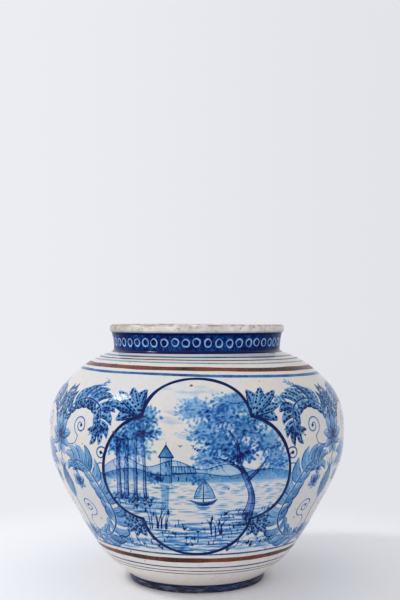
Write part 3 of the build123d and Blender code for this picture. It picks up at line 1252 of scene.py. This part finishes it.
class Glaze(Nodes):
    """A material in the making, for the pot or the floor."""

    def __init__(self, name):
        self.material = bpy.data.materials.new(name)
        self.material.use_nodes = True
        super().__init__(self.material.node_tree)
        self.surface = self.tree.nodes["Principled BSDF"]
        self.place = self.value("ShaderNodeTexCoord", "Object")

    def paint(self, layer):
        """A layer of paint on the canvas."""
        return self.value("ShaderNodeAttribute", "Fac", attribute_name=layer)

    def off_axis(self):
        """How far a place is from the pot's axis, in metres."""
        return self.vector("LENGTH", "Value", self.vector("MULTIPLY", "Vector", self.place, (1, 1, 0)))

    def height(self):
        """How high a place is, in metres."""
        return self.part(self.place, "Z")

    def by_height(self, low, high, start=0.0, end=1.0):
        """From start to end as the height goes from low to high, in mm."""
        return self.height().eased(low * MM, high * MM, start, end)

    def by_radius(self, low, high, start=0.0, end=1.0):
        """From start to end as the distance from the pot's axis goes from low to high, in mm."""
        return self.off_axis().eased(low * MM, high * MM, start, end)

    def moved(self, shift, stretch=(1, 1, 1)):
        """Places on the pot, moved and stretched."""
        inputs = {"Vector": self.place, "Location": shift, "Scale": stretch}
        return self.value("ShaderNodeMapping", "Vector", inputs)

    def noise(self, size, detail, roughness=0.5, shift=0.0, stretch=(1, 1, 1)):
        """Cloudy variation from 0 to 1 with features of about this size in mm."""
        inputs = {
            "Vector": self.moved((shift, shift * 0.7, shift * 1.3), stretch),
            "Scale": 1 / (size * MM),
            "Detail": detail,
            "Roughness": roughness,
        }
        return self.value("ShaderNodeTexNoise", "Fac", inputs)

    def specks(self, spacing, share, size, shift=0.0):
        """Scattered spots: how far apart, what share of them is kept and their radius, lengths in mm."""
        inputs = {"Vector": self.moved((shift, shift, shift)), "Scale": 1 / (spacing * MM)}
        cells = self.node("ShaderNodeTexVoronoi", inputs)
        distance, random = self.outputs(cells, "Distance", "Color")
        parts = self.node("ShaderNodeSeparateColor", {"Color": random})
        chance, unevenness = self.outputs(parts, "Red", "Green")
        near = (unevenness + 0.35) * (size / spacing) - distance
        return near.eased(0.0, 0.35 * size / spacing) * self.math("LESS_THAN", chance, share)

    def finish(self, colour, roughness, bump, bump_depth, shine):
        """Connects the colour, roughness and relief, the last with its depth in mm, and sets the shine."""
        relief = {"Strength": 1.0, "Distance": bump_depth * MM, "Height": bump}
        self.feed(self.surface.inputs["Base Color"], colour)
        self.feed(self.surface.inputs["Roughness"], roughness)
        self.feed(self.surface.inputs["Normal"], self.value("ShaderNodeBump", "Normal", relief))
        self.surface.inputs["Specular IOR Level"].default_value = shine
        return self.material


# The share of red, green and blue that cobalt lets through, from no paint to a full brush
cobalt_tints = (
    (0.0, (1.0, 1.0, 1.0, 1)),
    (0.14, (0.74, 0.89, 1.0, 1)),
    (0.34, (0.32, 0.62, 0.98, 1)),
    (0.55, (0.095, 0.36, 0.79, 1)),
    (0.76, (0.012, 0.145, 0.50, 1)),
    (0.90, (0.001, 0.044, 0.27, 1)),
    (1.0, (0.0, 0.005, 0.105, 1)),
)


def tin_ground(glaze):
    """The grey-white tin glaze, warmer in some places and cooler in others, and painted paler low on the pot
    as painted light.
    """
    broad = glaze.noise(55, 2).eased(0.35, 0.65)
    ground = glaze.mix(broad, linear(209, 203, 197), linear(203, 202, 203))
    # Painted light: the glaze is painted paler low on the pot, in place of light thrown up from the floor
    low = glaze.by_height(12, 90, 0.8, 0.0)
    mottle = glaze.noise(4.5, 4, 0.6, 3.1).eased(0.3, 0.75, 0.0, 0.18)
    return glaze.layered(ground, (low, (234, 225, 217)), (mottle, (170, 164, 158)))


def under_cobalt(glaze, cobalt):
    """The tin glaze as it shows through this much cobalt."""
    return glaze.mix(1.0, tin_ground(glaze), glaze.ramp(cobalt, *cobalt_tints), "MULTIPLY")


def finger_rings(glaze):
    """Where glaze has gathered between the rings that fingers left inside the pot, from 0 to 1."""
    rise = glaze.height() * 2.2 + glaze.off_axis()
    wander = glaze.noise(60, 3, 0.5, 4.0) * (40 * MM)
    wave = glaze.math("SINE", (rise + wander) * (TURN / (27 * MM)))
    return wave.eased(-0.4, 1.0) * glaze.noise(24, 3, 0.6, 8.0).eased(0.3, 0.7, 0.1, 0.6)


def body_glaze():
    """Tin glaze with the painting in cobalt and brown, pinholes and a soft unevenness."""
    glaze = Glaze("painted_glaze")
    pool = glaze.noise(2.4, 3, 0.6)
    load = (pool + glaze.noise(16, 2, 0.5, 7.7)) * 0.8 + 0.2
    wash = glaze.paint("wash") * load
    fine_cover = glaze.paint("fine").eased(-0.22, 0.22)
    fine = fine_cover * glaze.paint("fine_tone") * load
    dark = glaze.paint("dark").eased(-0.2, 0.22) * (load * 0.5 + 0.51)
    cobalt = glaze.larger(wash + fine * (1.0 - wash * 0.6), dark, True)
    painted = under_cobalt(glaze, cobalt)
    # Some of the cobalt leans to violet
    drifts = glaze.noise(38, 2, 0.5, 12.0).eased(0.5, 0.68) * glaze.math("MINIMUM", cobalt, 0.18)
    painted = glaze.tinted(glaze.larger(drifts, glaze.paint("violet")), painted, (1.9, 0.84, 0.94))
    # The banding lines are greyer than the painting between them
    upper = glaze.by_height(neck_root_height - 22, neck_root_height - 11)
    painted = glaze.tinted(upper * fine_cover, painted, (1.05, 0.94, 0.62))
    lower = glaze.by_height(40, 52, 1.0, 0.0)
    painted = glaze.tinted(lower * fine_cover, painted, (1.1, 0.82, 0.66))
    brown_cover = glaze.paint("brown").eased(-0.35, 0.35)
    patches = glaze.noise(34, 4, 0.6, 1.9).eased(0.35, 0.65)
    brown = glaze.mix(patches, linear(60, 24, 16), linear(112, 56, 40))
    painted = glaze.mix(brown_cover * pool.eased(0.1, 0.5, 0.9, 1.0), painted, brown)
    # Painted light: the inside is painted a paler glaze than the outside, to make up for the dim light in the
    # pot
    inner = glaze.mix(finger_rings(glaze), linear(238, 236, 231), linear(190, 197, 208))
    pits = glaze.larger(glaze.specks(7, 0.2, 0.95), glaze.specks(17, 0.4, 1.5, 0.3))
    colour = glaze.layered(glaze.mix(glaze.paint("outside"), inner, painted), (pits * 0.85, (66, 54, 44)))
    roughness = glaze.noise(7, 4, 0.6, 5.5).eased(0.3, 0.7, 0.08, 0.17) + brown_cover * 0.14
    relief = glaze.noise(11, 2, 0.5, 2.2) * 1.2 + glaze.noise(1.6, 2) * 0.15 - pits * 0.6
    return glaze.finish(colour, roughness, relief, 0.14, 0.17)


def collar_glaze():
    """Deep cobalt laid on in short upright strokes, with a chain of pale rings over it."""
    glaze = Glaze("collar_glaze")
    strokes = glaze.noise(1.9, 4, 0.7, 4.4, (1, 1, 0.6))
    # Painted shade: the cobalt is painted darker just under the rim, where the rim shades it, and it is also
    # darker in the cove at the collar's foot
    at_top = glaze.by_height(neck_top - 2.4, neck_top - 1, 0.0, 0.3)
    shade_and_dark_edges = at_top + glaze.by_height(cove_top - 1.6, cove_top, 0.2, 0.0)
    depth = strokes * 0.62 + glaze.noise(12, 2, 0.5, 8.8) * 0.3 + shade_and_dark_edges
    outside = glaze.by_radius(neck_bore_radius + 1, neck_bore_radius + 3)
    body = under_cobalt(glaze, depth.eased(0.31, 0.52, 0.73, 1.0) * outside)
    cover = glaze.paint("pale").eased(-0.22, 0.25)
    slip = glaze.mix(glaze.noise(2.6, 3, 0.6, 2.0), linear(112, 150, 200), linear(166, 196, 230))
    ringed = glaze.mix(cover * strokes.eased(0.25, 0.55, 0.72, 1.0), body, slip)
    colour = glaze.layered(ringed, (glaze.specks(6, 0.06, 0.4) * 0.6, (150, 160, 170)))
    roughness = glaze.noise(6, 3, 0.6, 5.5).eased(0.3, 0.7, 0.14, 0.27)
    relief = glaze.noise(9, 2, 0.5, 2.2) + cover * 0.25
    # The glaze has run thick and glassy into the cove
    run = glaze.by_height(cove_top - 1.2, cove_top + 0.2, 0.36, 0.0)
    glaze.feed(glaze.surface.inputs["Coat Weight"], run)
    glaze.surface.inputs["Coat Roughness"].default_value = 0.12
    return glaze.finish(colour, roughness, relief, 0.25, 0.035)


def rim_glaze():
    """Tin glaze on the lip, speckled grey-green and worn brown along its edge."""
    glaze = Glaze("rim_glaze")
    stained_side = glaze.part(glaze.place, "X").eased(-85 * MM, -40 * MM, 0.65, 0.0)
    edge = glaze.by_height(rim_top - 2.0, rim_top - 1.0) * glaze.by_radius(rim_radius - 3.2, rim_radius - 1.4)
    worn = edge * glaze.noise(9, 4, 0.6, 9.0).eased(0.38, 0.58)
    dots = glaze.larger(glaze.specks(4.6, 0.12, 0.6, 0.2), glaze.specks(10, 0.2, 0.95, 0.5))
    colour = glaze.layered(
        tin_ground(glaze),
        (glaze.noise(14, 2, 0.5, 21.0).eased(0.42, 0.62), (224, 221, 214)),
        (glaze.noise(9, 4, 0.6, 6.0).eased(0.44, 0.68) * 0.55 + stained_side, (150, 148, 130)),
        (glaze.by_height(neck_top + 0.4, neck_top + 3.2, 0.55, 0.0), (138, 156, 184)),
        (worn * 0.8, (158, 116, 102)),
        (glaze.noise(4.6, 3, 0.6, 15.0).eased(0.6, 0.7, 0.0, 0.7), (138, 130, 88)),
        (dots * 0.75, (72, 62, 50)),
    )
    roughness = glaze.noise(4, 4, 0.6, 5.5).eased(0.3, 0.7, 0.2, 0.42)
    relief = glaze.noise(3.5, 3, 0.6, 2.2) + dots * -0.5
    return glaze.finish(colour, roughness, relief, 0.3, 0.12)


def foot_glaze():
    """The blue-black band of the foot, streaked as it was turned, rubbed to brown clay where it stands."""
    glaze = Glaze("foot_glaze")
    streaks = glaze.noise(14, 4, 0.6, 1.0, (1, 1, 11))
    band = glaze.ramp(
        streaks.eased(0.3, 0.72),
        (0.0, linear(28, 29, 48)),
        (0.5, linear(50, 54, 74)),
        (0.78, linear(72, 80, 106)),
        (1.0, linear(122, 130, 150)),
    )
    band = glaze.tinted(glaze.noise(50, 2, 0.5, 6.0).eased(0.42, 0.62, 0.0, 0.6), band, (0.95, 1.2, 1.9))
    # The band is darker along its top, and painted darker near the floor as painted shade where the foot
    # stands
    at_top = glaze.by_height(foot_top - 2.4, foot_top - 1, 0.0, 0.7)
    shade_and_dark_edges = glaze.larger(at_top, glaze.by_height(1.2, 2.6, 0.7, 0.0))
    band = glaze.layered(band, (shade_and_dark_edges, (22, 27, 54)))
    rubbed = glaze.height() + glaze.noise(7, 4, 0.65, 3.3, (1, 1, 2.5)) * (-9 * MM)
    edge = rubbed.eased(-4.6 * MM, -3 * MM, 1.0, 0.0)
    clay = glaze.mix(glaze.noise(3, 4, 0.6, 5.0), linear(96, 72, 54), linear(150, 122, 96))
    inner = glaze.by_radius(foot_base_radius - 4, foot_base_radius - 1.5, 1.0, 0.0)
    colour = glaze.mix(inner, glaze.mix(edge, band, clay), clay)
    bare = glaze.larger(edge, inner)
    roughness = bare * 0.5 + streaks.eased(0.3, 0.7, 0.2, 0.34)
    relief = streaks + glaze.noise(1.1, 3, 0.6) * (bare * 0.6)
    return glaze.finish(colour, roughness, relief, 0.3, 0.12)


# The five pieces

bowl_outside = spread_evenly(bowl_line, paint_spacing)
cove_reach = 1.9
cove_top = neck_root_height + 2.6
shoulder_outside = spread_evenly(shoulder_line, paint_spacing)
shoulder_outside = shoulder_outside[shoulder_outside[:, 0] > neck_root_radius + cove_reach]
body_canvas = Canvas(np.vstack([bowl_outside, shoulder_outside[1:]]), seam_height)
paint_body(body_canvas)

seam_row = len(bowl_outside) - 1
belly_bore = belly_radius - wall_thickness
groove = [(belly_radius - wall_thickness / 2, seam_height - groove_depth)]

# Where the collar sits on the shoulder
seat = [(neck_bore_radius + 2, seat_top - 0.6), (neck_bore_radius, seat_top)]


def rows_of(layers, rows):
    """The paint on some rings of a canvas, and a mark that tells the outside from the bare inside."""
    return {**{name: grid[rows] for name, grid in layers.items()}, "outside": 1.0}


def make_foot_ring():
    """The ring that the pot stands on, open underneath."""
    hidden_rows = 8
    inner_base, inner_top = (foot_inner_radius + foot_inner_taper, 0), (foot_inner_radius, foot_top)
    outer_base = arc((foot_base_radius - foot_edge_rounding, foot_edge_rounding), foot_edge_rounding, -90, 0)
    outside = chain(inner_base, 1.5, outer_base, paint_spacing, (foot_radius, foot_top))
    profile = chain(outside, 3, (foot_radius - 1, foot_top), 3, inner_top, 1.5, inner_base)[:-1]
    painted = slice(0, len(profile) - hidden_rows)
    dress(turned("foot_ring_glazed", profile, True, painted), "foot_ring", foot_glaze())


def make_lower_bowl(material):
    """The lower half of the body with its floor, up to the joint at the belly."""
    under = spread_evenly([(0, foot_top), (foot_radius, foot_top)], 5)[:-1]
    inside = ridged(bowl_line, wall_thickness)[::-1]
    inside = spread_evenly(inside[inside[:, 1] > floor_top + 4], plain_spacing)
    inside[0] = (belly_bore, seam_height)
    corner = [inside[-1], (floor_radius + 4.5, floor_top + 0.9), (floor_radius - 5, floor_top)]
    corner = smooth_through(corner, 6)
    floor = spread_evenly([corner[-1], (0, floor_top)], 2.5)
    floor[1:, 1] += 0.5 * np.sin(floor[1:, 0] * TURN / 13)
    profile = np.vstack([under, bowl_outside, groove, inside[:-1], corner, floor[1:]])
    painted = slice(len(under), len(under) + len(bowl_outside))
    layers = rows_of(body_canvas.layers, slice(0, seam_row + 1))
    piece = turned("lower_bowl_painted", profile, False, painted, layers)
    dress(piece, "lower_bowl", material)


def make_shoulder_wall(material):
    """The upper half of the body, from the belly to the seat of the collar."""
    inside = ridged(shoulder_line, wall_thickness)[::-1]
    inside = spread_evenly(inside[inside[:, 0] > neck_bore_radius + 7], plain_spacing)
    inside[-1] = (belly_bore, seam_height)
    bend = (neck_bore_radius + 1.6, neck_root_height - 5.4)
    lip = smooth_through([(neck_bore_radius, neck_root_height - 2), bend, inside[0]], 6)
    profile = np.vstack([shoulder_outside, seat, lip, inside[1:], groove])
    painted = slice(0, len(shoulder_outside))
    layers = rows_of(body_canvas.layers, slice(seam_row, None))
    piece = turned("shoulder_wall_painted", profile, True, painted, layers)
    dress(piece, "shoulder_wall", material)


def make_neck_collar():
    """The cobalt collar, which runs out over the shoulder in a cove."""
    root = shoulder_outside[-1]
    middle = ((neck_root_radius + neck_top_radius) / 2 - neck_waist, (neck_root_height + neck_top) / 2 + 1)
    foot = (neck_root_radius - neck_waist * 0.4, cove_top)
    side = smooth_through([foot, middle, (neck_top_radius, neck_top)], 12)
    bend = np.array([neck_root_radius - 0.3, neck_root_height + 0.3])
    cove = [root * (1 - t) ** 2 + bend * 2 * t * (1 - t) + side[0] * t**2 for t in np.linspace(0, 1, 8)]
    outside = spread_evenly(np.vstack([cove[:-1], side]), paint_spacing)
    canvas = Canvas(outside, neck_root_height)
    paint_collar(canvas)
    bore = spread_evenly([(neck_bore_radius, neck_top), (neck_bore_radius, seat_top)], plain_spacing)
    profile = np.vstack([outside, [(neck_top_radius - 4, neck_top)], bore, seat[:1]])
    painted = slice(0, len(outside))
    piece = turned("neck_collar_ringed", profile, True, painted, canvas.layers)
    dress(piece, "neck_collar", collar_glaze())


def make_rim_roll():
    """The rounded lip, which rises and falls a little round the mouth."""
    lower, upper = rim_lower_rounding, rim_rounding
    bottom = (rim_bore_radius, neck_top)
    low = arc((rim_radius - lower, neck_top + lower), lower, -90, 0, 0.4)
    high = arc((rim_radius - upper, rim_top - upper), upper, 0, 90, 0.4)
    inner = arc((rim_bore_radius + upper, rim_top - upper), upper, 90, 180, 0.5)
    profile = chain(bottom, 3, low, 0.8, high, 1.0, inner, 2, bottom)[:-1]

    def lift(angle, height):
        uneven = 0.22 * np.sin(2 * angle + 0.4) + 0.12 * np.sin(7 * angle + 1.0) + 0.07 * np.sin(19 * angle)
        return uneven * (height - neck_top) / (rim_top - neck_top)

    piece = turned("rim_roll_glazed", profile, True, slice(0, len(profile)), lift=lift)
    dress(piece, "rim_roll", rim_glaze())


painted_glaze = body_glaze()
make_foot_ring()
make_lower_bowl(painted_glaze)
make_shoulder_wall(painted_glaze)
make_neck_collar()
make_rim_roll()


# Floor, backdrop, lamps and camera

backdrop_left = linear(236, 237, 242)
backdrop_right = linear(227, 228, 233)
floor_colour = linear(238, 239, 242)
floor_reach = 9.0
floor_sides = 64
plain_floor_reach = 0.28
backdrop_reach = 0.45
turn_reach = 0.22
surround_strength = 0.875
pot_middle = (0, 0, 0.14)


def backdrop_colour(shade, sideways):
    """The backdrop's colour, from its left to its right, by how far sideways a direction points."""
    return shade.mix(sideways.eased(-turn_reach, turn_reach), backdrop_left, backdrop_right)


def seen_or_mirrored(shade):
    """1 for what the camera sees, also in a gloss or through glass, and 0 for light on a surface."""
    path = shade.node("ShaderNodeLightPath")
    seen, glossy, through = shade.outputs(path, "Is Camera Ray", "Is Glossy Ray", "Is Transmission Ray")
    return shade.larger(seen, shade.larger(glossy, through))


def make_floor():
    """A wide pale floor that fades into the backdrop away from the pot and keeps its shadow."""
    mesh = bpy.data.meshes.new("studio_floor")
    angles = [k * TURN / floor_sides for k in range(floor_sides)]
    rim = [(floor_reach * math.cos(angle), floor_reach * math.sin(angle), 0) for angle in angles]
    mesh.from_pydata(rim, [], [range(floor_sides)])
    floor = add_object("studio_floor", mesh)
    shade = Glaze("studio_floor")
    away = shade.vector("LENGTH", "Value", shade.place).eased(plain_floor_reach, backdrop_reach)
    sideways = shade.part(shade.vector("NORMALIZE", "Vector", shade.place), "X")
    shade.surface.inputs["Base Color"].default_value = floor_colour
    shade.surface.inputs["Roughness"].default_value = 0.9
    shade.surface.inputs["Specular IOR Level"].default_value = 0.1
    inputs = {"Color": backdrop_colour(shade, sideways), "Strength": 1.0}
    glow = shade.value("ShaderNodeEmission", "Emission", inputs)
    shade.show(away * seen_or_mirrored(shade), *shade.outputs(shade.surface, "BSDF"), glow)
    mesh.materials.append(shade.material)


def make_world():
    """An even pale surround that lights the pot from all sides and shows as the backdrop's colour."""
    world = bpy.data.worlds.new("studio")
    bpy.context.scene.world = world
    world.use_nodes = True
    shade = Nodes(world.node_tree)
    light = world.node_tree.nodes["Background"]
    light.inputs["Color"].default_value = linear(250, 250, 252)
    light.inputs["Strength"].default_value = surround_strength
    direction = shade.value("ShaderNodeTexCoord", "Generated")
    colour = backdrop_colour(shade, shade.part(direction, "X"))
    shown = shade.value("ShaderNodeBackground", "Background", {"Color": colour})
    shade.show(seen_or_mirrored(shade), *shade.outputs(light, "Background"), shown)


def make_lamp(name, place, size, watts):
    """A square soft box that faces the pot."""
    lamp = bpy.data.lights.new(name, "AREA")
    lamp.size = size
    lamp.energy = watts
    holder = add_object(name, lamp)
    holder.location = place
    toward = Vector(pot_middle) - holder.location
    holder.rotation_euler = toward.to_track_quat("-Z", "Y").to_euler()


def make_camera():
    """The photograph's camera: its distance and height in mm, level but for a small pitch."""
    focal_pixels = 1000
    image_width, image_height = 400, 600
    axis_column, horizon_row = 197.0, 317.0
    distance, eye_height = 1029.0, 264.5
    lens = bpy.data.cameras.new("camera")
    lens.sensor_width = 36.0
    lens.lens = lens.sensor_width * focal_pixels / image_height
    camera = add_object("camera", lens)
    aside = (image_width / 2 - axis_column) / focal_pixels * distance
    camera.location = (aside * MM, -distance * MM, eye_height * MM)
    pitch = math.atan((horizon_row - image_height / 2) / focal_pixels)
    camera.rotation_euler = (math.pi / 2 + pitch, 0, 0)
    bpy.context.scene.camera = camera


make_floor()
make_world()
make_lamp("soft_box_left", (-1.08, -0.21, 1.3), 0.25, 7.8)
make_lamp("soft_box_front", (-0.8, -2.2, 0.4), 2.4, 13)
make_camera()
bpy.context.scene.view_settings.view_transform = "Standard"
